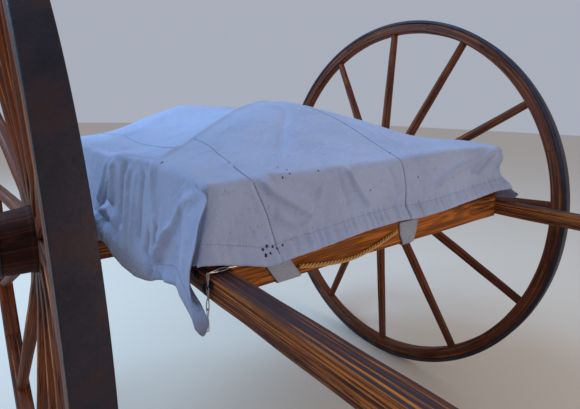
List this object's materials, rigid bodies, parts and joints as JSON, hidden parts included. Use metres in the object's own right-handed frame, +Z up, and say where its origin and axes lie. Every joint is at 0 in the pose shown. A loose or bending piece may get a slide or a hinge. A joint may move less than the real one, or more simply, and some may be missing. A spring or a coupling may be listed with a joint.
{
  "type": "two-wheeled shaft cart with canvas cover",
  "caption": "Horse cart with tall spoked iron-tyred wheels, a shallow boarded box on long shafts, folding prop legs and a canvas cover strapped over the box.",
  "frame": {"origin": "on the ground under the middle of the cart's whole length and width", "axes": "+Z up, -Y toward the shaft tips where the horse stands, +X toward the cart's left wheel"},
  "size_m": [1.6798, 3.322, 1.5205],
  "materials": {
    "wheel_wood": "oiled, weathered",
    "frame_wood": "oiled, weathered",
    "box_wood": "oiled, weathered",
    "tyre_iron": "worn, dark",
    "forged_iron": "forged, dark",
    "chain_steel": "galvanised, dull",
    "canvas": "faded cotton duck",
    "manila": "laid rope"
  },
  "bodies": {
    "cart": {"axle_bed": "frame_wood", "axle_iron": "forged_iron", "axle_nuts": "forged_iron", "box_front": "box_wood", "box_side_left": "box_wood", "box_side_right": "box_wood", "box_tailboard": "box_wood", "chain": "chain_steel", "chain_eye": "forged_iron", "cover": "canvas", "cover_straps": "canvas", "cross_beams": "frame_wood", "floor_bearers": "frame_wood", "floor_boards": "box_wood", "prop_bracket_left": "forged_iron", "prop_bracket_right": "forged_iron", "shaft_left": "frame_wood", "shaft_right": "frame_wood", "tie_rope": "manila"},
    "wheel_left": {"wheel_left_felloes": "wheel_wood", "wheel_left_hub_box": "forged_iron", "wheel_left_nave": "wheel_wood", "wheel_left_nave_bands": "forged_iron", "wheel_left_spokes": "wheel_wood", "wheel_left_tyre": "tyre_iron"},
    "wheel_right": {"wheel_right_felloes": "wheel_wood", "wheel_right_hub_box": "forged_iron", "wheel_right_nave": "wheel_wood", "wheel_right_nave_bands": "forged_iron", "wheel_right_spokes": "wheel_wood", "wheel_right_tyre": "tyre_iron"},
    "prop_left": {"prop_leg_left": "frame_wood"},
    "prop_right": {"prop_leg_right": "frame_wood"}
  },
  "joints": [
    {"name": "wheel_left_spin", "type": "hinge", "parent": "cart", "child": "wheel_left", "pos_m": [0.716, 0.899, 0.7588], "axis": [0.9978, 0, -0.0663], "continuous": true},
    {"name": "wheel_right_spin", "type": "hinge", "parent": "cart", "child": "wheel_right", "pos_m": [-0.716, 0.899, 0.7588], "axis": [0.9978, 0, 0.0663], "continuous": true},
    {"name": "prop_left_fold", "type": "hinge", "parent": "cart", "child": "prop_left", "pos_m": [0.496, -0.391, 0.755], "axis": [1, 0, 0], "range_deg": [0, 90]},
    {"name": "prop_right_fold", "type": "hinge", "parent": "cart", "child": "prop_right", "pos_m": [-0.496, -0.391, 0.755], "axis": [1, 0, 0], "range_deg": [0, 90]}
  ]
}
